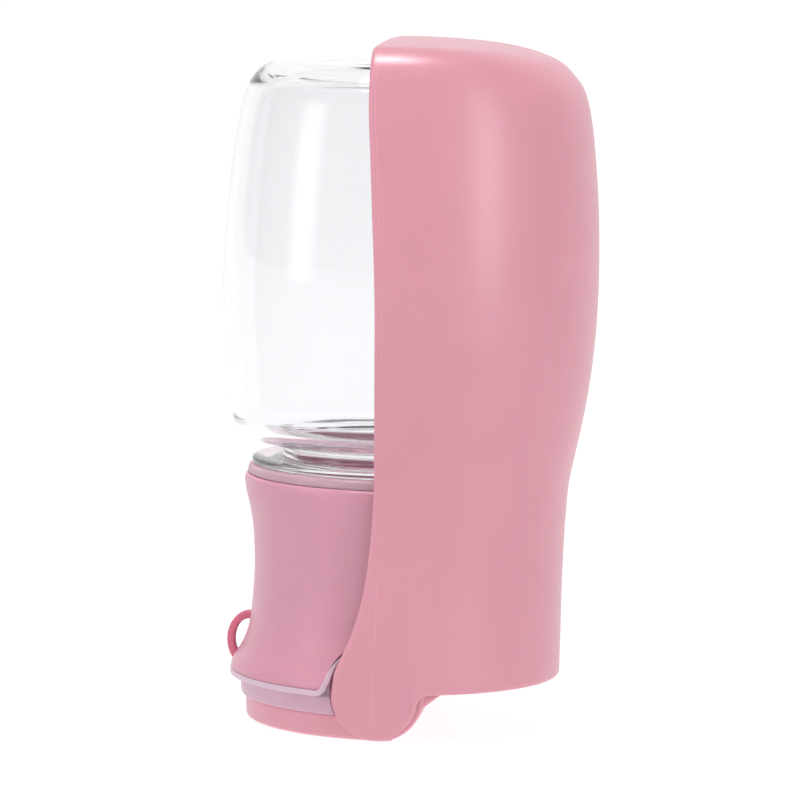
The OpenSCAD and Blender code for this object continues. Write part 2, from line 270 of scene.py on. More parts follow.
def noise(nt, scale, detail=3.0, rough=0.5, stretch=None):
    co = nt.nodes.new("ShaderNodeTexCoord")
    tex = nt.nodes.new("ShaderNodeTexNoise")
    tex.inputs["Scale"].default_value = scale
    tex.inputs["Detail"].default_value = detail
    tex.inputs["Roughness"].default_value = rough
    src = co.outputs["Object"]
    if stretch:
        mp = nt.nodes.new("ShaderNodeMapping")
        mp.inputs["Scale"].default_value = stretch
        nt.links.new(src, mp.inputs["Vector"])
        src = mp.outputs["Vector"]
    nt.links.new(src, tex.inputs["Vector"])
    return tex.outputs["Fac"]


def spread(nt, src, a, b, lo=0.3, hi=0.7):
    mr = nt.nodes.new("ShaderNodeMapRange")
    mr.inputs["From Min"].default_value = lo
    mr.inputs["From Max"].default_value = hi
    mr.inputs["To Min"].default_value = a
    mr.inputs["To Max"].default_value = b
    nt.links.new(src, mr.inputs["Value"])
    return mr.outputs["Result"]


def mix(nt, fac, a, b):
    mx = nt.nodes.new("ShaderNodeMix")
    mx.data_type = "RGBA"
    nt.links.new(fac, mx.inputs["Factor"])
    for key, c in (("A", a), ("B", b)):
        sock = [s for s in mx.inputs if s.name == key and s.type == "RGBA"][0]
        if hasattr(c, "links"):
            nt.links.new(c, sock)
        else:
            sock.default_value = (*c, 1)
    return [s for s in mx.outputs if s.type == "RGBA"][0]


def bump(nt, bsdf, layers):
    prev = None
    for src, height, strength in layers:
        b = nt.nodes.new("ShaderNodeBump")
        b.inputs["Strength"].default_value = strength
        b.inputs["Distance"].default_value = height
        nt.links.new(src, b.inputs["Height"])
        if prev is not None:
            nt.links.new(prev, b.inputs["Normal"])
        prev = b.outputs["Normal"]
    nt.links.new(prev, bsdf.inputs["Normal"])


def lift(c, k):
    return tuple(min(1.0, x * k) for x in c)


def plastic(name, col, rough=0.4, vary=0.03, grain=2600, grain_h=0.00002, specular=0.5, sss=0.0, edge_highlight=1.06,
            sss_radius=(1.0, 0.45, 0.4), sss_scale=0.0015, coat=0.0):
    """Moulded plastic: a fine sparked grain, faint flow clouds, and a painted highlight that makes edges a little
    lighter.
    """
    mat, nt, b = nodes_of(name)
    clouds = noise(nt, 38, 4, 0.55)
    flow = noise(nt, 95, 3, 0.5, stretch=(1.0, 1.0, 0.22))
    grains = noise(nt, grain, 2, 0.6)
    dust = noise(nt, 700, 4, 0.7)
    body = mix(nt, spread(nt, clouds, 0, 1), lift(col, 1 - vary), lift(col, 1 + vary))
    body = mix(nt, spread(nt, flow, 0, 0.35, 0.45, 0.75), body, lift((col[0], col[1] * 0.985, col[2] * 0.985), 1 - vary * 1.4))
    # painted highlight: the colour is lifted lighter where the mesh's edge weight is high
    at = nt.nodes.new("ShaderNodeAttribute")
    at.attribute_name = "edge"
    body = mix(nt, spread(nt, at.outputs["Fac"], 0, 1, 0, 1), body, lift(col, edge_highlight))
    nt.links.new(body, b.inputs["Base Color"])
    r = spread(nt, dust, rough - 0.035, rough + 0.045)
    nt.links.new(r, b.inputs["Roughness"])
    bump(nt, b, [(grains, grain_h, 0.55), (clouds, 0.00012, 0.25)])
    b.inputs["Specular IOR Level"].default_value = specular
    b.inputs["IOR"].default_value = 1.5
    if sss:
        b.inputs["Subsurface Weight"].default_value = sss
        b.inputs["Subsurface Radius"].default_value = sss_radius
        b.inputs["Subsurface Scale"].default_value = sss_scale
    if coat:
        b.inputs["Coat Weight"].default_value = coat
        b.inputs["Coat Roughness"].default_value = 0.3
    return mat


def clear_plastic(name, tint, rough=0.012, ior=1.5):
    mat, nt, b = nodes_of(name)
    smear = noise(nt, 60, 4, 0.55)
    fine = noise(nt, 900, 3, 0.6)
    waves = noise(nt, 22, 2, 0.4)
    col = mix(nt, spread(nt, smear, 0, 1), tint, lift(tint, 1.01))
    nt.links.new(col, b.inputs["Base Color"])
    nt.links.new(spread(nt, fine, rough * 0.5, rough * 1.8), b.inputs["Roughness"])
    b.inputs["Transmission Weight"].default_value = 1.0
    b.inputs["IOR"].default_value = ior
    bump(nt, b, [(waves, 0.0003, 0.03)])
    # light from the lamps passes through, so that what stands inside isn't left dark
    lp = nt.nodes.new("ShaderNodeLightPath")
    through = nt.nodes.new("ShaderNodeBsdfTransparent")
    through.inputs["Color"].default_value = (0.93, 0.93, 0.94, 1)
    ms = nt.nodes.new("ShaderNodeMixShader")
    nt.links.new(lp.outputs["Is Shadow Ray"], ms.inputs["Fac"])
    nt.links.new(b.outputs["BSDF"], ms.inputs[1])
    nt.links.new(through.outputs["BSDF"], ms.inputs[2])
    out = [n for n in nt.nodes if n.type == "OUTPUT_MATERIAL"][0]
    nt.links.new(ms.outputs["Shader"], out.inputs["Surface"])
    return mat


def frosted(name, col, rough, transmission, sss=0.3, ior=1.45, scale=0.002, edge=None):
    mat, nt, b = nodes_of(name)
    clouds = noise(nt, 120, 4, 0.6)
    grains = noise(nt, 2400, 2, 0.6)
    c = mix(nt, spread(nt, clouds, 0, 1), lift(col, 0.97), lift(col, 1.03))
    # painted highlight: the colour is lifted lighter, or set to the given edge colour, where the edge weight is high
    at = nt.nodes.new("ShaderNodeAttribute")
    at.attribute_name = "edge"
    c = mix(nt, spread(nt, at.outputs["Fac"], 0, 1, 0, 1), c, edge or lift(col, 1.1))
    nt.links.new(c, b.inputs["Base Color"])
    nt.links.new(spread(nt, clouds, rough - 0.04, rough + 0.05), b.inputs["Roughness"])
    b.inputs["Transmission Weight"].default_value = transmission
    b.inputs["IOR"].default_value = ior
    b.inputs["Subsurface Weight"].default_value = sss
    b.inputs["Subsurface Radius"].default_value = (1.0, 0.7, 0.75)
    b.inputs["Subsurface Scale"].default_value = scale
    bump(nt, b, [(grains, 0.000015, 0.4)])
    return mat


def metal(name, col, rough=0.28):
    mat, nt, b = nodes_of(name)
    lines = noise(nt, 900, 3, 0.6, stretch=(1.0, 1.0, 6.0))
    spots = noise(nt, 260, 4, 0.6)
    c = mix(nt, spread(nt, spots, 0, 1), lift(col, 0.93), lift(col, 1.04))
    nt.links.new(c, b.inputs["Base Color"])
    nt.links.new(spread(nt, lines, rough - 0.08, rough + 0.1), b.inputs["Roughness"])
    b.inputs["Metallic"].default_value = 1.0
    bump(nt, b, [(lines, 0.00001, 0.3)])
    return mat


def rubber(name, col, rough=0.6):
    mat, nt, b = nodes_of(name)
    bloom = noise(nt, 300, 4, 0.6)
    grains = noise(nt, 3000, 2, 0.6)
    c = mix(nt, spread(nt, bloom, 0, 1), col, lift(col, 1.35))
    nt.links.new(c, b.inputs["Base Color"])
    nt.links.new(spread(nt, bloom, rough - 0.08, rough + 0.1), b.inputs["Roughness"])
    bump(nt, b, [(grains, 0.00002, 0.5)])
    return mat


PINK = (0.645, 0.278, 0.345)
CAP_PINK = (0.625, 0.288, 0.375)
BASE_PINK = (0.74, 0.325, 0.405)
m_trough = plastic("trough_pink", PINK, rough=0.34, sss=0.10, edge_highlight=1.13)
m_cap = plastic("cap_pink", CAP_PINK, rough=0.36, sss=0.10)
m_base = plastic("base_pink", BASE_PINK, rough=0.36, sss=0.10)
m_button = plastic("button_pink", (0.70, 0.285, 0.385), rough=0.36, sss=0.10)
m_eye = plastic("eye_pink", (0.68, 0.165, 0.255), rough=0.5, grain_h=0.00001, sss=0.15)
m_clear = clear_plastic("clear_wall", (0.955, 0.958, 0.972), rough=0.035, ior=1.42)
m_ring = frosted("frosted_ring", (0.70, 0.46, 0.53), 0.42, 0.35)
# the lip's edge colour is a painted highlight on its bead
m_lip = frosted("soft_lip", (0.68, 0.435, 0.545), 0.42, 0.12, sss=0.6, edge=(0.72, 0.53, 0.64))
m_white = plastic("white_plastic", (0.80, 0.80, 0.78), rough=0.42, vary=0.015)
m_seal = rubber("seal_white", (0.62, 0.62, 0.60), 0.55)
m_black = rubber("black_rubber", (0.022, 0.022, 0.024), 0.55)
m_steel = metal("steel", (0.62, 0.63, 0.65))

# ---------------------------------------------------------------- bottle
bottle_side = catmull([(30, 164.7), (33.6, 164), (37.2, 161.4), (39.7, 157.2), (41.2, 151), (42.5, 143), (43.5, 133.5),
                       (44.3, 123.5), (44.7, 112.5), (44.5, 102), (43.9, 92), (42.9, 84), (42.2, 78.5), (41.3, 74.2),
                       (39.3, 71.5), (35.3, 69.95), (31, 69.6)], 6)
LEAD = 4.0


def bottle_form():
    inner_side = [p for p in beside(bottle_side, -2.2) if 75.5 < p[1] < 156.0]
    outer = [tuple(p) for p in catmull([(0, 163.7), (10, 163.7), (19, 163.72), (23.5, 163.8), (26.3, 164.3), (28.2, 164.65), (30, 164.7)], 5)[:-1]]
    outer += [tuple(p) for p in bottle_side]
    outer += [(30.2, 69.42), (29.5, 69.0), (29.12, 68.5), (29.0, 68.1)]
    outer += [(29.02, 66.1), (29.3, 65.85), (29.7, 65.75)]
    outer += [(33, 65.75), (35.7, 65.75), (36.2, 65.67), (36.55, 65.45), (36.7, 65.15), (36.7, 64.55), (36.55, 64.25), (36.2, 64.0), (35.8, 63.95)]
    outer += [(31, 63.95), (29.3, 63.95), (29.0, 63.75)]
    neck = [(29.0, 63.6 - 0.3 * i) for i in range(50)]
    outer += neck + [(29.0, 48.5), (28.85, 48.2), (28.6, 48.1), (27.2, 48.1), (26.9, 48.2), (26.8, 48.5)]
    inner = catmull([(26.8, 50), (26.8, 60), (26.8, 69.3), (27.5, 70.9), (30.2, 71.7), (34.4, 72.1), (37.2, 73.1),
                     (38.8, 74.6)], 5)[:-1]
    side_up = [tuple(p) for p in inner_side[::-1]]
    top = catmull([(side_up[-1][0], side_up[-1][1]), (36.9, 157.9), (35.3, 159.5), (33.2, 160.6), (30.2, 161.2), (26, 161.25), (18, 160.9),
                   (9, 160.6), (0, 160.5)], 5)[1:]
    inner += side_up + top
    prof = [tuple(map(float, p)) for p in outer + [tuple(q) for q in inner]]
    n = 192
    m, rows = Form(), []
    for r, h in prof:
        if r < 1e-6:
            rows.append([m.pt((0, 0, h))] * n)
            continue
        ring = []
        for k in range(n):
            a = 2 * PI * k / n
            rr = r
            if abs(r - 29.0) < 1e-6 and 48.6 < h < 62:
                for turn in (0, 1):
                    ang = turn * 2 * PI + a
                    d = abs(h - (50.8 + LEAD * ang / (2 * PI)))
                    end = step(0, 0.35, ang) * step(4 * PI, 4 * PI - 0.35, ang)
                    rr = max(rr, r + 1.35 * end * min(1.0, max(0.0, (1.0 - d) / 0.6)))
            ring.append((rr * math.cos(a), rr * math.sin(a), h))
        rows.append(m.row(ring))
    for a, b in zip(rows[:-1], rows[1:]):
        for k in range(n):
            j = (k + 1) % n
            m.f.append((a[k], a[j], b[j], b[k]))
    return m


bottle = make("clear_bottle", bottle_form(), m_clear, angle=50)
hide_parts("bottle")
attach(bottle, "bottle")

# the points in edges get edge weight: a painted highlight on this rounding
ring = make("neck_collar", lathe([(31.2, 61.57), (37.3, 61.57), (37.5, 61.62), (37.62, 61.8), (37.65, 62.1), (37.6, 62.5), (37.5, 62.95),
                                  (37.38, 63.3), (37.25, 63.55), (37.05, 63.75), (36.8, 63.86), (36.3, 63.9), (31.4, 63.9), (31.2, 63.7)],
                                 edges=(7, 8, 9, 10)), m_ring, angle=40)
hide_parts("neck_ring")
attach(ring, "ring")

# ---------------------------------------------------------------- trough
DOME = 159.2
WALL = 1.7
RIDGE = 0.10               # height of the mould's parting line


def top_z(x):
    """The top curves about the hinge, so that it swings clear; on the open side it is level."""
    return H + math.sqrt(DOME * DOME - x * x) if x > 0 else H + DOME


def sag(y):
    """The top falls a little towards both sides."""
    return 0.00075 * y * y


side_low = [(41.4, -2), (41.4, 12), (41.5, 24), (41.6, 37), (42, 50), (42.7, 60), (44, 67), (45.7, 75.5), (47.3, 85.5),
            (48.4, 96), (48.9, 107), (48.9, 118), (48.5, 128.5)]
# the upper part at the back, and the squarer one beside the open side, point for point
side_back = side_low + [(47.7, 139), (46.4, 150), (44.6, 157.6), (41.9, 161.8), (38.6, 164.9), (35.2, top_z(35.2) - 0.12), (32.6, top_z(32.6)), (29.6, top_z(29.6)), (25.6, top_z(25.6)), (21, top_z(21))]
side_near = side_low + [(47.8, 139), (46.7, 150), (45.3, 157.8), (44.3, 162.4), (42.7, 166.0), (40.2, 168.3), (38.1, 169.3), (36.2, 169.54), (29, 169.9), (21, 170.5 - sag(21))]
prof_back, prof_near = catmull(side_back, 16), catmull(side_near, 16)
rim_x = table_of(catmull([(-10.5, 11.3), (-10.3, 16.3), (-8.4, 21.3), (-6.4, 26), (-4.8, 31), (-3.4, 37), (-2.4, 44), (-1.7, 52),
                          (-1.2, 62), (-1, 75), (-1, 90), (-1.1, 105), (-1.6, 118), (-2.3, 130), (-3, 142), (-3.7, 152),
                          (-3.95, 158), (-4.0, 164), (-4.0, 168), (-4.0, 172)], 12))
crease_x = table_of([(-0.8, 0), (-0.75, 10), (-0.55, 17), (-0.35, 26), (-0.05, 36), (0.3, 48), (0.5, 62), (0.55, 78), (0.5, 92),
                     (0.3, 105), (-0.2, 118), (-0.9, 130), (-1.6, 142), (-2.15, 152), (-2.3, 158), (-2.3, 161), (-2.2, 164), (-2.1, 168), (-2, 172)])


def trough_half():
    m = Form()
    e1, d1, d2 = 1.25, 0.95, 0.35          # rounding of the rim: inset and depth outside, radius inside
    N_, B_ = np.array(prof_near), np.array(prof_back)
    seg = np.hypot(np.diff(N_[:, 0]), np.diff(N_[:, 1]))
    S = np.concatenate([[0], np.cumsum(seg)])
    keep = np.concatenate([[True], seg > 1e-9])
    low = N_[:, 1] < 60
    s_start = float(np.interp(12 + e1, N_[low][:, 1], S[low]))
    s_end = float(S[-1])
    count = int((s_end - s_start) / 1.2)
    rows_s = [s_start + (s_end - s_start) * i / count for i in range(count + 1)]

    def raw(s, u):
        rn, zn = float(np.interp(u, S, N_[:, 0])), float(np.interp(u, S, N_[:, 1]))
        if s < 0:
            return np.array((s, -rn, zn))
        a = s / rn
        w = math.sin(min(a, PI / 2)) ** 2
        r = rn * (1 - w) + float(np.interp(u, S, B_[:, 0])) * w
        z = zn * (1 - w) + float(np.interp(u, S, B_[:, 1])) * w
        return np.array((r * math.sin(a), -r * math.cos(a), z))

    def on(s, u, depth=0.0, ridge=True):
        """The point at arc s of row u: straight for s < 0, round for s > 0, and its outward normal."""
        p = raw(s, u)
        du = 0.4
        a, b = raw(s, min(S[-1], u + du)), raw(s, max(0, u - du))
        hs = 0.05
        c, d = raw(s + hs, u), raw(s - hs, u)
        n = np.cross(c - d, a - b)
        n /= np.linalg.norm(n)
        if depth == 0 and ridge:
            z = p[2]
            p = p + n * RIDGE * math.exp(-((p[0] - crease_x(z)) / 0.14) ** 2) * (1 - step(160, 166, z))
        return p - n * depth, n

    phi_f = math.asin(13.3 / 41.4)
    n1, n3, n4 = 7, 14, 48
    cluster = (-0.34, -0.2, -0.11, -0.05, 0, 0.05, 0.11, 0.2, 0.34)

    def spaced(a, b, n):
        return [a + (b - a) * i / n for i in range(n + 1)]

    def columns(left, c, f, end):
        c = max(c, left + 0.36 + 0.1)
        return spaced(left, c - 0.34, n1)[:-1] + [c + k for k in cluster] + spaced(c + 0.34, f, n3)[1:] + spaced(f, end, n4)[1:]

    outer_rows, inner_rows, rim = [], [], []     # rim: (inset, edge, normal at the edge, inset inside)
    for u in rows_s:
        rn, zn = float(np.interp(u, S, N_[:, 0])), float(np.interp(u, S, N_[:, 1]))
        cols = columns(rim_x(zn) + e1, crease_x(zn), rn * phi_f, rn * PI / 2)
        outer_rows.append([on(c, u)[0] for c in cols])
        inner_rows.append([on(c, u, WALL)[0] for c in cols])
        e, n = on(rim_x(zn), u, ridge=False)
        rim.append((outer_rows[-1][0], e, n, inner_rows[-1][0]))
    # the top: rows that shrink to a point on the rim's inset line
    last, last_in = outer_rows[-1], inner_rows[-1]
    xq = rim_x(170) + e1
    steps = 20
    top_outer, top_inner, top_rim = [], [], []
    for i in range(1, steps + 1):
        lam = 1 - i / steps
        ro, ri = [], []
        for k in range(len(last)):
            x, y = xq + lam * (last[k][0] - xq), lam * last[k][1]
            ro.append(np.array((x, y, top_z(x) - sag(y))))
            x, y = xq + lam * (last_in[k][0] - xq), lam * last_in[k][1]
            ri.append(np.array((x, y, (H + math.sqrt((DOME - WALL) ** 2 - x * x) if x > 0 else H + DOME - WALL) - sag(y))))
        top_outer.append(ro)
        top_inner.append(ri)
        top_rim.append((ro[0], np.array((rim_x(170), ro[0][1], H + DOME - sag(ro[0][1]))), np.array((0, 0, 1.0)), ri[0]))
    # the ear, below the open edge
    F = (13.3, 9.0)
    ear_rows, ear_in, left_rim, right_rim = [], [], [], []
    t0 = math.degrees(math.atan2(2.3, 13.3))
    zs = [(F[1] + (3 + e1) * math.sin(math.radians(a)), a, None) for a in np.linspace(90, 180 - t0, 12)]
    r_in = 10.5 - e1
    zs += [(H + r_in * math.sin(math.radians(a)), None, a) for a in np.linspace(-t0, -90, 18)[1:]]
    full = len(columns(rim_x(12 + e1) + e1, crease_x(12 + e1), 41.4 * phi_f, 41.4 * PI / 2))
    ear_cols = full - n4

    def on_ear(x, z, depth=0.0, ridge=True):
        a = 0.0 if x < 0 else math.asin(min(1.0, x / 41.4))
        n = np.array((math.sin(a), -math.cos(a), 0))
        p = np.array((x, -41.4 * math.cos(a), z))
        if depth == 0 and ridge:
            p = p + n * RIDGE * math.exp(-((x - crease_x(z)) / 0.14) ** 2)
        return p - n * depth, n
    for z, fa, ca in zs:
        if z > H:
            xl, xe, ze = rim_x(z) + e1, rim_x(z), z
        else:
            th = math.asin(max(-1.0, (z - H) / r_in))
            xl, xe, ze = -r_in * math.cos(th), -10.5 * math.cos(th), H + 10.5 * math.sin(th)
        if fa is not None:
            q = math.radians(fa)
            xr = F[0] + (3 + e1) * math.cos(q)
            re_ = (F[0] + 3 * math.cos(q), F[1] + 3 * math.sin(q))
        else:
            q = math.radians(ca)
            xr = r_in * math.cos(q)
            re_ = (10.5 * math.cos(q), H + 10.5 * math.sin(q))
        w = xr - xl
        k = min(1.0, w / 6.0)
        c = min(max(crease_x(z), xl + 0.12 * w + 0.34 * k), xr - 0.12 * w - 0.34 * k)
        xs = spaced(xl, c - 0.34 * k, n1)[:-1] + [c + d * k for d in cluster] + spaced(c + 0.34 * k, xr, n3)[1:]
        ear_rows.append([on_ear(x, z)[0] for x in xs])
        ear_in.append([on_ear(x, z, WALL)[0] for x in xs])
        e, n = on_ear(xe, ze, ridge=False)
        left_rim.append((ear_rows[-1][0], e, n, ear_in[-1][0]))
        e, n = on_ear(re_[0], re_[1], ridge=False)
        right_rim.append((ear_rows[-1][-1], e, n, ear_in[-1][-1]))
    low_cols = columns(rim_x(12 + e1) + e1, crease_x(12 + e1), 41.4 * phi_f, 41.4 * PI / 2)
    low_rim = []
    for k in range(ear_cols, full):
        e, n = on(low_cols[k], float(np.interp(12.0, N_[low][:, 1], S[low])), ridge=False)
        low_rim.append((outer_rows[0][k], e, n, inner_rows[0][k]))
    # surfaces
    # painted highlight along the parting line: the columns round the crease get edge weight, which the material paints
    # lighter
    crease_highlight = {n1 + k: v for k, v in ((2, 0.25), (3, 0.75), (4, 1.0), (5, 0.75), (6, 0.25))}
    m.grid([[m.pt(p, crease_highlight.get(k, 0.0)) for k, p in enumerate(r)] for r in outer_rows] + [m.row(r) for r in top_outer])
    m.grid([m.row(r) for r in inner_rows] + [m.row(r) for r in top_inner])
    m.grid([[m.pt(p, crease_highlight.get(k, 0.0)) for k, p in enumerate(r)] for r in ear_rows])
    m.grid([m.row(r) for r in ear_in])
    # the rim: from the top's middle down the side, round the ear, along the open edge; its rounding gets edge weight, a
    # painted highlight
    loop = top_rim[::-1] + rim[::-1] + left_rim[1:] + right_rim[::-1][1:] + low_rim
    strips = []
    for po, pe, n, pi in loop:
        t = pe - po
        th = t / np.linalg.norm(t)
        pts, w = [po], [0.1]
        for a in (14, 28, 42, 56, 70, 90):
            q = math.radians(a)
            pts.append(po + t * math.sin(q) - n * d1 * (1 - math.cos(q)))
            w.append(0.1 + 0.4 * math.sin(q))
        for a in (0, 30, 60, 90):
            q = math.radians(a)
            pts.append(pe - n * (WALL - d2) - th * d2 * (1 - math.cos(q)) - n * d2 * math.sin(q))
            w.append(0.6)
        pts.append(pi)
        w.append(0.0)
        strips.append([m.pt(p, e) for p, e in zip(pts, w)])
    m.grid(strips)
    return m


trough_form = trough_half().both()
for sgn in (1, -1):
    # the points in edges get edge weight: a painted highlight on this rounding
    boss = lathe([(0, 40.3), (2.55, 40.3), (2.55, 38.1), (2.75, 37.9), (8.55, 37.9), (8.85, 38.02), (9.0, 38.35), (9.0, 40.6), (0, 40.6)],
                 n=72, axis="y", at=(0, 0, H), edges=(3, 5))
    trough_form.join(boss, flip_y=sgn < 0)
trough = make("trough_shell", trough_form, m_trough, angle=40)
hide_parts("trough")
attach(trough, "trough")

# ---------------------------------------------------------------- cap
waist = catmull([(38.38, 59.6), (37.9, 56.5), (37, 53), (36.2, 48.5), (35.75, 43), (35.6, 38), (35.75, 33), (36.1, 28), (36.5, 23.5), (36.6, 18),
                 (36.6, 12.2)], 10)
flare = catmull([(35.75, 33), (36.1, 28), (36.6, 23.5), (37.6, 20), (39, 17), (40.4, 14.9), (41, 13.4), (41, 12.2)], 10)
waist_r, flare_r = table_of(waist), table_of([p for p in flare if p[1] <= 28] + [p for p in waist if p[1] > 28.2])


def cap_r(x, z):
    k = 1 - step(-3.0, -0.5, x)
    return waist_r(z) * (1 - k) + flare_r(z) * k if z < 33 else waist_r(z)


def cap_half():
    m = Form()
    e1 = 0.24
    edge = []     # (x, z, inset x, inset z, kind)
    for i in range(37):                                   # bottom of the flare
        a = math.radians(-90 + (90 - 21.35) * i / 36)
        x = 41 * math.sin(a)
        edge.append((x, 12.2, x, 12.2 + e1, 0))
    cx, cz = -14.92, 14.2                                  # rounded corner beside the ear
    for a in np.linspace(270, 360 - 11, 9)[1:]:
        q = math.radians(a)
        edge.append((cx + 2.0 * math.cos(q), cz + 2.0 * math.sin(q), cx + (2.0 - e1) * math.cos(q), cz + (2.0 - e1) * math.sin(q), 1))
    for a in np.linspace(169, 4.5, 60)[1:]:                # round the hub
        q = math.radians(a)
        r = 11.65 + 1.55 * step(78, 102, a)
        edge.append((r * math.cos(q), H + r * math.sin(q), (r + e1) * math.cos(q), H + (r + e1) * math.sin(q), 2))
    x0 = edge[-1][0]
    edge[-1] = (x0, 12.2, x0 + e1 * 0.7, 12.2 + e1 * 0.7, 2)
    a0 = math.degrees(math.asin((x0 + e1) / 36.6))
    for i in range(0, 41):
        a = math.radians(a0 + (90 - a0) * i / 40)
        x = 36.6 * math.sin(a)
        edge.append((x, 12.2, x, 12.2 + e1, 3))

    def surf(x, z):
        r = cap_r(x, z)
        x = max(-r, min(r, x))
        return np.array((x, -math.sqrt(max(0.0, r * r - x * x)), z)), r

    cols = []
    for i, (x, z, xi, zi, kind) in enumerate(edge):
        if kind in (0, 3):
            r = cap_r(x, 12.2)
            phi = math.asin(max(-1, min(1, x / r)))
            pi_ = np.array((cap_r(x, zi) * math.sin(phi), -cap_r(x, zi) * math.cos(phi), zi))
            pe = np.array((r * math.sin(phi), -r * math.cos(phi), z))
        else:
            pi_, r = surf(xi, zi)
            pe, _ = surf(x, z)
            phi = math.asin(max(-1, min(1, pi_[0] / r)))
        cols.append((phi, pi_, pe, kind))
    # outside
    top = [(36.4, 61.5), (37.5, 61.5), (37.85, 61.44), (38.1, 61.25), (38.25, 60.95), (38.34, 60.4)]
    zrows = [59.6 - (59.6 - 30.0) * i / 26 for i in range(27)]
    rows = []
    for r, z in top:
        rows.append([np.array((r * math.sin(c[0]), -r * math.cos(c[0]), z)) for c in cols])
    for z in zrows:
        rows.append([np.array((waist_r(z) * math.sin(c[0]), -waist_r(z) * math.cos(c[0]), z)) for c in cols])
    lower = 26
    for j in range(1, lower + 1):
        row = []
        for phi, pi_, pe, kind in cols:
            if j == lower:
                row.append(pi_)
                continue
            z = 30.0 + (pi_[2] - 30.0) * j / lower
            r = cap_r(40 * math.sin(phi), z)
            row.append(np.array((r * math.sin(phi), -r * math.cos(phi), z)))
        rows.append(row)
    # the rows of the top rounding get edge weight: a painted highlight
    g = [m.row(r, 1.0 if 1 < i < 5 else 0.0) for i, r in enumerate(rows)]
    m.grid(g)
    # rounded edge, whose edge weight gives a painted highlight, then the cut face to the inside
    strips = []
    for i, (phi, po, pe, kind) in enumerate(cols):
        rr = math.hypot(pe[0], pe[1])
        n = np.array((pe[0] / rr, pe[1] / rr, 0))
        t = pe - po
        pts, w = [po], [0.3]
        for a in (22, 45, 67, 90):
            q = math.radians(a)
            pts.append(po + t * math.sin(q) - n * e1 * (1 - math.cos(q)))
            w.append(0.3 + 0.7 * math.sin(q))
        radial = np.array((33.4 * math.sin(phi), -33.4 * math.cos(phi), pe[2]))
        straight = np.array((pe[0], -math.sqrt(max(0.0, 33.4 ** 2 - min(33.3, abs(pe[0])) ** 2)), pe[2]))
        k = 0.0
        if kind == 1 or kind == 2:
            k = 1.0
        elif kind == 0:
            k = step(26, 36, i)
        elif kind == 3:
            k = 1 - step(0, 10, i - (37 + 8 + 59))
        pin = radial * (1 - k) + straight * k
        for f in (0.33, 0.66, 1.0):
            pts.append(pts[4] * (1 - f) + pin * f)
            w.append(0.0)
        strips.append([m.pt(p, e) for p, e in zip(pts, w)])
        cols[i] = (phi, po, pe, kind, pin)
    m.grid(strips)
    # inside wall and the step that the insert's flange sits in
    inner = []
    for r, z in ((36.4, 61.5), (35.9, 61.3), (35.9, 59.0), (33.4, 59.0)):
        inner.append([np.array((r * math.sin(c[0]), -r * math.cos(c[0]), z)) for c in cols])
    for j in range(1, 9):
        row = []
        for phi, po, pe, kind, pin in cols:
            f = j / 8
            a0_, a1_ = phi, math.asin(max(-1, min(1, pin[0] / 33.4)))
            if abs(pin[0]) > 33.2:
                a1_ = phi
            a_ = a0_ + (a1_ - a0_) * f
            z = 59.0 + (pin[2] - 59.0) * f
            row.append(pin if j == 8 else np.array((33.4 * math.sin(a_), -33.4 * math.cos(a_), z)))
        inner.append(row)
    m.grid([m.row(r) for r in inner])
    return m


cap_form = cap_half().both()
hole = lathe([(0, 20), (12.05, 20), (12.05, 45), (0, 45)], n=96, axis="x", at=(0, 0, 31))
cap = make("cap_body", cap_form, m_cap, angle=38, cut=hole)
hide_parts("cap_shell")
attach(cap, "cap")

# ---------------------------------------------------------------- base
FOOT_X, FOOT_Y = 5.0, 25.8


def fill(m, outer, holes, z):
    """A flat face at height z with round holes in it, as one filled mesh."""
    bm = bmesh.new()
    loops = [outer] + holes
    es = []
    for lp in loops:
        vs = [bm.verts.new((p[0], p[1], 0)) for p in lp]
        for a, b in zip(vs, vs[1:] + vs[:1]):
            es.append(bm.edges.new((a, b)))
    bmesh.ops.triangle_fill(bm, use_beauty=True, use_dissolve=False, edges=es)
    bm.verts.index_update()
    base = [m.pt((v.co.x, v.co.y, z)) for v in bm.verts]
    for f in bm.faces:
        m.f.append(tuple(base[v.index] for v in f.verts))
    bm.free()


def circle(x, y, r, n=48):
    return [(x + r * math.cos(2 * PI * k / n), y + r * math.sin(2 * PI * k / n)) for k in range(n)]


def tube(m, x, y, r, z0, z1, n=48):
    a = m.row([(p[0], p[1], z0) for p in circle(x, y, r, n)])
    b = m.row([(p[0], p[1], z1) for p in circle(x, y, r, n)])
    m.grid([a, b], closed=True)


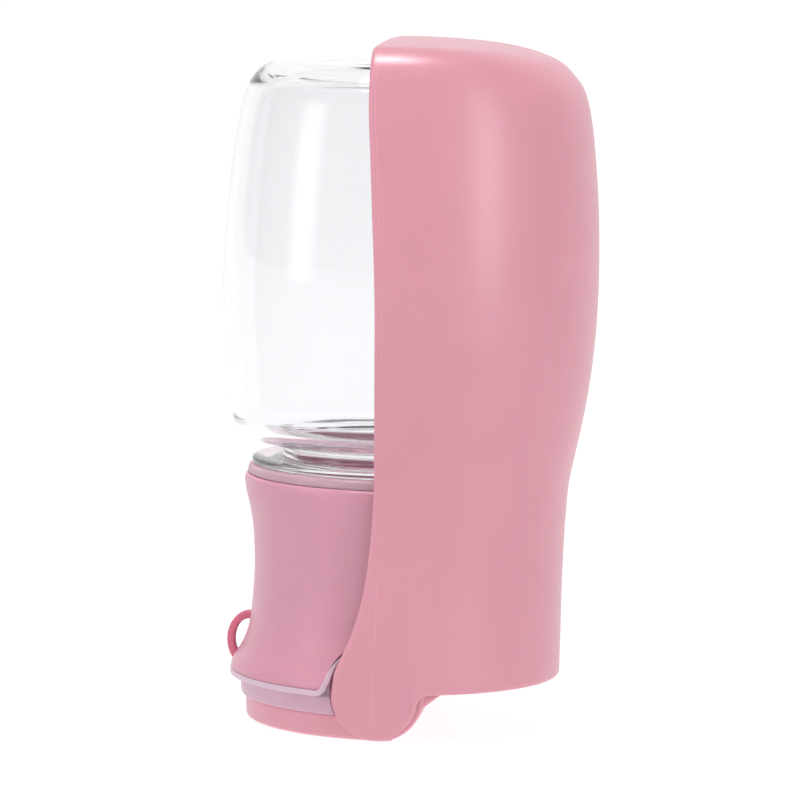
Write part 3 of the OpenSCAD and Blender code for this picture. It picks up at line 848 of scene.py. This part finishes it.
def base_form():
    m = Form()
    cutx = 3.6
    prof = [(34.0, 0.0), (35.9, 0.0)] + arc((35.9, 1.15), 1.15, -90, -6, 8)[1:] + [(37.1, 2.3), (37.2, 4.0), (37.24, 5.0), (37.2, 5.6), (37.05, 5.78), (36.9, 5.83), (36.9, 12.1)]
    K = 90
    rows = []
    ends = []
    for j, (r, z) in enumerate(prof):
        end = math.asin((cutx - 0.35) / r)
        row = []
        for k in range(K + 1):
            a = -PI / 2 + (end + PI / 2) * k / K
            row.append((r * math.sin(a), -r * math.cos(a), z))
        rows.append(row)
    # rounded edge to the cut face
    full = []
    for j, row in enumerate(rows):
        r, z = prof[j]
        tail = []
        for q in (30, 60, 90):
            t = math.radians(q)
            x = cutx - 0.35 + 0.35 * math.sin(t)
            rr = r - 0.35 * (1 - math.cos(t))
            tail.append((x, -math.sqrt(rr * rr - x * x), z + (0.12 * (1 - math.cos(t)) if j == 0 else 0)))
        full.append(row + tail)
    # the rows of the bottom rounding get edge weight: a painted highlight
    left = [m.row([(p[0], p[1], p[2]) for p in row], 1.0 if 1 < j < 8 else 0.0) for j, row in enumerate(full)]
    m.grid(left)
    rightr = [m.row([(p[0], -p[1], p[2]) for p in row], 1.0 if 1 < j < 8 else 0.0) for j, row in enumerate(full)]
    m.grid(rightr)
    # cut face, a flat strip either side down to the foot's edge
    for s in (-1, 1):
        a = m.row([(row[-1][0], s * abs(row[-1][1]), row[-1][2]) for row in full])
        b = m.row([(cutx, s * 20.0, row[-1][2]) for row in full])
        m.grid([a, b])
    # underside, with the wells of the screws and the outlet
    under = [(p[0], p[1]) for p in full[0]] + [(p[0], -p[1]) for p in full[0][::-1][:-1]]
    holes = [circle(-25.4, -14.8, 3.2), circle(-25.4, 14.8, 3.2), circle(-5, 0, 4.0)]
    fill(m, under, holes, 0.0)
    top = [(p[0], p[1]) for p in full[-1]] + [(p[0], -p[1]) for p in full[-1][::-1][:-1]]
    fill(m, top, [circle(-25.4, -14.8, 3.2), circle(-25.4, 14.8, 3.2), circle(-5, 0, 4.0)], 12.1)
    tube(m, -25.4, -14.8, 3.2, 0, 12.1)
    tube(m, -25.4, 14.8, 3.2, 0, 12.1)
    a = m.row([(p[0], p[1], 0) for p in circle(-5, 0, 4.0)])
    b = m.row([(p[0], p[1], 1.2) for p in circle(-5, 0, 4.0)])
    c = m.row([(p[0], p[1], 1.2) for p in circle(-5, 0, 2.6)])
    d = m.row([(p[0], p[1], 12.1) for p in circle(-5, 0, 2.6)])
    e = m.row([(p[0], p[1], 12.1) for p in circle(-5, 0, 4.0)])
    m.grid([a, b, c, d, e], closed=True)
    return m


def rounded_box(x0, x1, y0, y1, z0, z1, r, n=4):
    """A box with rounded edges all round, made from eight corner patches."""
    m = Form()
    rows = []
    for i in range(2 * n + 2):
        # latitude from the bottom to the top
        if i <= n:
            v = -90 + 90 * i / n
            zc = z0 + r
        else:
            v = 90 * (i - n - 1) / n
            zc = z1 - r
        cr, sz = math.cos(math.radians(v)) * r, math.sin(math.radians(v)) * r
        ring = []
        for cx, cy, a in ((x1 - r, y1 - r, 0), (x0 + r, y1 - r, 90), (x0 + r, y0 + r, 180), (x1 - r, y0 + r, 270)):
            for k in range(n + 1):
                q = math.radians(a + 90 * k / n)
                ring.append((cx + cr * math.cos(q), cy + cr * math.sin(q), zc + sz))
        # the lower rounding gets some edge weight: a painted highlight
        rows.append(m.row(ring, 0.4 if 0 < i < n else 0.0))
    m.grid(rows, closed=True)
    m.f.append(tuple(rows[0][::-1]))
    m.f.append(tuple(rows[-1]))
    return m


base = base_form()
base.join(rounded_box(1.0, FOOT_X, -FOOT_Y, FOOT_Y, 0.0, 12.15, 1.0))
# hub bosses, with a web under the cap's edge
for sgn in (1, -1):
    # the points in edges get edge weight: a painted highlight on these roundings
    hub = lathe([(2.52, 25.9), (10.9, 25.9), (11.3, 26.1), (11.5, 26.5), (11.5, 36.45), (11.45, 36.7), (11.3, 36.88), (11.05, 36.98), (10.7, 37.0), (3.1, 37.0),
                 (2.7, 36.9), (2.52, 36.7)], n=120, axis="y", at=(0, 0, H), edges=(1, 2, 4, 5, 6, 7))
    hub.v = [(x, y, max(z, 0.02)) for x, y, z in hub.v]
    base.join(hub, flip_y=sgn < 0)
    web = Form()
    shape = [(17.3, 12.2), (16.6, 12.05), (15.9, 11.75), (14.3, 10.62), (12.6, 9.35), (11.75, 8.7), (11.35, 8.3), (11.05, 7.8), (10.9, 7.3), (9.0, 7.3), (9.0, 12.3), (17.3, 12.3)]
    rows = []
    for f in (0, 0.25, 0.5, 0.7, 0.85, 1.0):
        row = []
        for x, z in shape:
            far = math.sqrt(38.3 ** 2 - x * x)
            y = 26.0 + (min(36.9, far) - 26.0) * f
            drop = 0.35 * max(0.0, (f - 0.85) / 0.15)
            row.append((x - drop * 0.5 if z < 12.1 else x, -y, z + drop * 0.8 if z < 12.1 else z))
        # the outer end gets edge weight: a painted highlight
        rows.append(web.row(row, 0.7 if f > 0.9 else 0.0))
    web.grid(rows, closed=True)
    web.f.append(tuple(rows[0]))
    web.f.append(tuple(rows[-1][::-1]))
    base.join(web, flip_y=sgn < 0)
# floor of the half that the trough covers
plate = Form()
half = [(33.1 * math.sin(a), -33.1 * math.cos(a)) for a in np.linspace(math.asin(3.0 / 33.1), PI - math.asin(3.0 / 33.1), 73)]
fill(plate, half, [circle(25.4, -14.8, 3.2), circle(25.4, 14.8, 3.2)], 12.2)
fill(plate, half, [circle(25.4, -14.8, 3.2), circle(25.4, 14.8, 3.2)], 14.4)
pa, pb = plate.row([(p[0], p[1], 12.2) for p in half]), plate.row([(p[0], p[1], 14.4) for p in half])
plate.grid([pa, pb], closed=True)
tube(plate, 25.4, -14.8, 3.2, 12.2, 14.4)
tube(plate, 25.4, 14.8, 3.2, 12.2, 14.4)
base.join(plate)
base_ob = make("base_body", base, m_base, angle=38)
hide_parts("base_shell")
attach(base_ob, "cap")


# ---------------------------------------------------------------- lip
def lip_form():
    m = Form()
    # band: a turned strip that ends in a hollow round the ear
    prof = [(37.05, 5.9), (37.9, 5.9), (38.12, 5.98), (38.28, 6.2), (38.4, 6.7), (38.58, 8.5), (38.72, 10.4), (38.75, 11.2), (37.05, 11.2)]
    K = 84
    rows = []
    for r, z in prof:
        xe = -math.sqrt(max(0.0, 11.62 ** 2 - (z - H) ** 2))
        end = math.asin(xe / r)
        rows.append(m.row([(r * math.sin(-PI / 2 + (end + PI / 2) * k / K), -r * math.cos(-PI / 2 + (end + PI / 2) * k / K), z) for k in range(K + 1)]))
    m.grid(rows + [rows[0]])
    m.f.append(tuple(r[-1] for r in rows))
    return m


def lip_rim():
    """The bead of the lip: along the flare's bottom edge, round its corner, and up beside the ear, where it thins out."""
    path, ups, sc = [], [], []
    zc = 11.5
    for i in range(61):
        a = -PI / 2 + (PI / 2 - math.radians(23.5)) * i / 60
        path.append((39.2 * math.sin(a), -39.2 * math.cos(a), zc))
        ups.append((0, 0, 1))
        sc.append((1.0, 1.0))
    # corner in the XZ view: from horizontal to the circle of radius 12.6 about the hinge
    cx, cz, cr = -15.3, zc + 2.65, 2.65
    for a in np.linspace(272, 352, 12):
        q = math.radians(a)
        x, z = cx + cr * math.cos(q), cz + cr * math.sin(q)
        r = cap_r(x, max(12.2, z)) - 1.75
        path.append((x, -math.sqrt(r * r - x * x), z))
        ups.append((-math.cos(q), 0, -math.sin(q)))
        sc.append((1.0, 1.0))
    a_end = math.degrees(math.atan2(path[-1][2] - H, path[-1][0]))
    for i in range(1, 22):
        a = math.radians(a_end + (133 - a_end) * i / 21)
        x, z = 12.6 * math.cos(a), H + 12.6 * math.sin(a)
        r = cap_r(x, z) - 1.75 + 0.55 * (i / 21)
        path.append((x, -math.sqrt(r * r - x * x), z))
        ups.append((math.cos(a), 0, math.sin(a)))
        t = 1 - 0.78 * (i / 21) ** 1.2
        sc.append((1.0 - 0.6 * i / 21, t))
    # section: across is along the radius (outside positive), up is across the bead
    sec = []
    w, h, rr = 2.1, 0.68, 0.42
    for cx_, cy_, a in ((w - rr, h - rr, 0), (-w + 0.1, h - 0.1, 90), (-w + 0.1, -h + 0.1, 180), (w - rr, -h + rr, 270)):
        q_r = rr if cx_ > 0 else 0.1
        for k in range(5):
            q = math.radians(a + 22.5 * k)
            sec.append((-(cx_ + q_r * math.cos(q)), cy_ + q_r * math.sin(q)))
    return sweep(path, ups, sec, scale=sc)


lip = lip_form().both()
rim_half = lip_rim()
# the whole bead gets full edge weight: the lip material paints it lighter, a painted highlight
rim_half.e = [1.0] * len(rim_half.v)
lip.join(rim_half).join(rim_half, flip_y=True)
# web between the bead's upturned end and the hollow round the ear
web = Form()
outer_pts, inner_pts = [], []
for i in range(14):
    a = math.radians(184 - (184 - 140) * i / 13)
    r_out = 13.2 - 0.25 * i / 13 + (1.9 * (1 - i / 4) if i < 4 else 0)
    row = []
    for rr_, dep in ((11.65, 0.0), (r_out, 0.0), (r_out, 1.5), (11.65, 1.5)):
        x, z = rr_ * math.cos(a), H + rr_ * math.sin(a)
        R_ = (38.72 if z < 12.3 else min(38.9, cap_r(x, z) - 0.9)) - dep
        row.append(web.pt((x, -math.sqrt(R_ * R_ - x * x), z)))
    outer_pts.append(row)
web.grid(outer_pts, closed=True)
web.f.append(tuple(outer_pts[0]))
web.f.append(tuple(outer_pts[-1][::-1]))
lip.join(web).join(web, flip_y=True)
lip_ob = make("drinking_lip", lip, m_lip, angle=38)
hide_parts("lip_seal")
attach(lip_ob, "cap")

# ---------------------------------------------------------------- lanyard eye
turn = np.linspace(math.radians(72), math.radians(236), 72)      # both ends lie inside the cap's wall
loop_path = [(-36.9 + 4.62 * math.cos(a), 0, 18.4 + 6.15 * math.sin(a)) for a in turn]
section = []
for cx_, cy_, a in ((1.0, 0.5, 0), (-1.0, 0.5, 90), (-1.0, -0.5, 180), (1.0, -0.5, 270)):
    for k in range(5):
        q = math.radians(a + 22.5 * k)
        section.append((cx_ + 0.48 * math.cos(q), cy_ + 0.48 * math.sin(q)))
loop_ups = [(math.cos(a) / 4.62, 0, math.sin(a) / 6.15) for a in turn]
eye = make("lanyard_loop", sweep(loop_path, loop_ups, section), m_eye, angle=60)
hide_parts("lanyard_eye")
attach(eye, "cap")

# ---------------------------------------------------------------- button and bezel
face = [(7.6, 37.95), (6.4, 38.1), (5.6, 38.12), (5.3, 38.0), (5.0, 38.0), (4.7, 38.15), (3.5, 38.36), (1.8, 38.5), (0, 38.55)]
btn_prof = ([(2.52, 28.5), (4.55, 28.5), (4.55, 35.6), (7.3, 35.6), (7.3, 28.5), (9.1, 28.5), (9.2, 28.6), (9.2, 29.9), (10.15, 29.9), (10.2, 30.0), (10.2, 31.3),
             (10.1, 31.4), (9.2, 31.4), (9.2, 36.9)] + arc((8.3, 37.0), 0.9, 0, 75, 6)[1:] + face + [(0, 30.6), (2.52, 30.6)])
# the points in edges get edge weight: a painted highlight on the button's rounded face
btn = make("push_button", lathe(btn_prof, n=112, axis="x", at=(0, 0, 31), edges=tuple(range(14, 21))), m_button, angle=35)
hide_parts("button")
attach(btn, "button")
bz_prof = ([(10.5, 26.0), (12.9, 26.0), (12.9, 27.5), (12.8, 27.6), (12.0, 27.6), (12.0, 35.3)] + arc((11.3, 35.3), 0.7, 0, 90, 6)[1:] + [(10.3, 36.0)]
           + arc((10.3, 35.4), 0.6, 90, 160, 5)[1:] + [(9.5, 34.6), (9.5, 31.55), (10.5, 31.5)])
# the points in edges get edge weight: a painted highlight on the collar's rounding
bezel = make("button_collar", lathe(bz_prof, n=112, axis="x", at=(0, 0, 31), edges=(7, 8, 9, 10, 11, 12, 13)), m_cap, angle=35)
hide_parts("button_bezel")
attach(bezel, "cap")


# ---------------------------------------------------------------- return spring
def spring_form():
    x0, x1, r, w, turns = -25.4, -17.5, 5.0, 0.45, 4.0
    n = 192
    path, ups = [], []
    for i in range(n + 1):
        a = 2 * PI * turns * i / n
        path.append((x0 + (x1 - x0) * i / n, r * math.cos(a), 31 + r * math.sin(a)))
        ups.append((1, 0, 0))
    sec = [(w * math.cos(2 * PI * k / 12), w * math.sin(2 * PI * k / 12)) for k in range(12)]
    return sweep(path, ups, sec)


spring = make("coil_spring", spring_form(), m_steel, angle=50)
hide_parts("return_spring")
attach(spring, "cap")
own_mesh(spring)

# ---------------------------------------------------------------- carried-over CAD pieces
for name, mat in {"bottle_seal": m_seal, "threaded_insert": m_cap, "inlet_seal": m_black, "valve_body": m_white, "valve_screws": m_steel,
                  "plunger": m_white, "poppet_seal": m_black, "rod_seal": m_black, "rod_gland": m_white, "end_plug": m_white,
                  "end_plug_ring": m_black, "outlet_ring": m_black, "base_screws": m_steel, "hinge_pins": m_steel, "ear_washers": m_white}.items():
    ob = CAD[name]
    if not ob.material_slots:
        ob.data.materials.append(mat)
    for s in ob.material_slots:
        s.material = mat

# ---------------------------------------------------------------- floor and light
fl = Form()
rows = []
sweep_pts = [(-3000, 0), (-1500, 0), (-600, 0), (0, 0), (600, 0), (1100, 0)] + [(1100 + 700 * math.sin(math.radians(a)), 700 - 700 * math.cos(math.radians(a))) for a in range(10, 91, 10)] + [(1800, 2600)]
for y, z in sweep_pts:
    rows.append(fl.row([(x, y, z) for x in np.linspace(-2600, 2600, 9)]))
fl.grid(rows)
fmat, fnt, fb = nodes_of("floor_white")
soft = noise(fnt, 2.0, 2, 0.5)
fnt.links.new(mix(fnt, spread(fnt, soft, 0, 1), (0.11, 0.11, 0.11), (0.13, 0.13, 0.13)), fb.inputs["Base Color"])
fb.inputs["Roughness"].default_value = 0.6
fb.inputs["Specular IOR Level"].default_value = 0.2
fb.inputs["Emission Color"].default_value = (1, 1, 1, 1)
fb.inputs["Emission Strength"].default_value = 0.90
floor = make("floor", fl, fmat)
if floor.data.polygons[0].normal.z < 0:
    floor.data.flip_normals()


def area(name, azimuth, elevation, dist, size, power, aim=(0, 0, 0.08), color=(1, 1, 1)):
    """A softbox that is bright in its middle and fades to its edges."""
    data = bpy.data.lights.new(name, "AREA")
    data.shape = "RECTANGLE"
    data.size, data.size_y = size
    data.energy = power
    data.color = color
    data.use_nodes = True
    lt = data.node_tree
    em = [n for n in lt.nodes if n.type == "EMISSION"][0]
    geo = lt.nodes.new("ShaderNodeNewGeometry")
    sp = lt.nodes.new("ShaderNodeSeparateXYZ")
    lt.links.new(geo.outputs["Parametric"], sp.inputs["Vector"])

    def calc(op, a, b=None):
        n = lt.nodes.new("ShaderNodeMath")
        n.operation = op
        for i, v in enumerate((a, b)):
            if v is None:
                continue
            if hasattr(v, "links"):
                lt.links.new(v, n.inputs[i])
            else:
                n.inputs[i].default_value = v
        return n.outputs[0]
    fade = [calc("SINE", calc("MULTIPLY", sp.outputs[c], PI)) for c in ("X", "Y")]
    fall = calc("MULTIPLY", fade[0], fade[1])
    lt.links.new(calc("MULTIPLY", fall, PI * PI / 4), em.inputs["Strength"])
    ob = bpy.data.objects.new(name, data)
    scene.collection.objects.link(ob)
    a, e = math.radians(azimuth), math.radians(elevation)
    d = Vector((math.sin(a) * math.cos(e), -math.cos(a) * math.cos(e), math.sin(e)))
    p = Vector(aim) + d * dist
    ob.location = p
    ob.rotation_euler = (-d).to_track_quat("-Z", "Y").to_euler()
    return ob


area("soft_left", -62, 10, 1.6, (0.7, 1.2), 2.8)
fill = area("fill_left", -30, 10, 1.6, (0.45, 1.2), 2.8)
fill.visible_glossy = False
fill.visible_transmission = False
area("soft_right", 57, 10, 1.6, (0.42, 1.2), 7.4)
area("soft_top", -20, 78, 1.5, (0.85, 0.6), 14)
sheen = area("sheen_top", -20, 75, 1.5, (0.85, 0.9), 12)
sheen.visible_diffuse = False
sheen.visible_transmission = False
world = bpy.data.worlds.new("world")
scene.world = world
world.use_nodes = True
bg = world.node_tree.nodes["Background"]
bg.inputs["Color"].default_value = (1, 1, 1, 1)
# the room is brighter near the floor than overhead
wt = world.node_tree
way = wt.nodes.new("ShaderNodeTexCoord")
split = wt.nodes.new("ShaderNodeSeparateXYZ")
ramp = wt.nodes.new("ShaderNodeMapRange")
ramp.inputs["From Min"].default_value = 0.0
ramp.inputs["From Max"].default_value = 0.5
ramp.inputs["To Min"].default_value = 0.58
ramp.inputs["To Max"].default_value = 0.38
wt.links.new(way.outputs["Generated"], split.inputs["Vector"])
wt.links.new(split.outputs["Z"], ramp.inputs["Value"])
wt.links.new(ramp.outputs["Result"], bg.inputs["Strength"])
scene.cycles.max_bounces = 32
scene.cycles.transmission_bounces = 32
scene.cycles.glossy_bounces = 12
scene.view_settings.view_transform = "Standard"
scene.view_settings.look = "None"
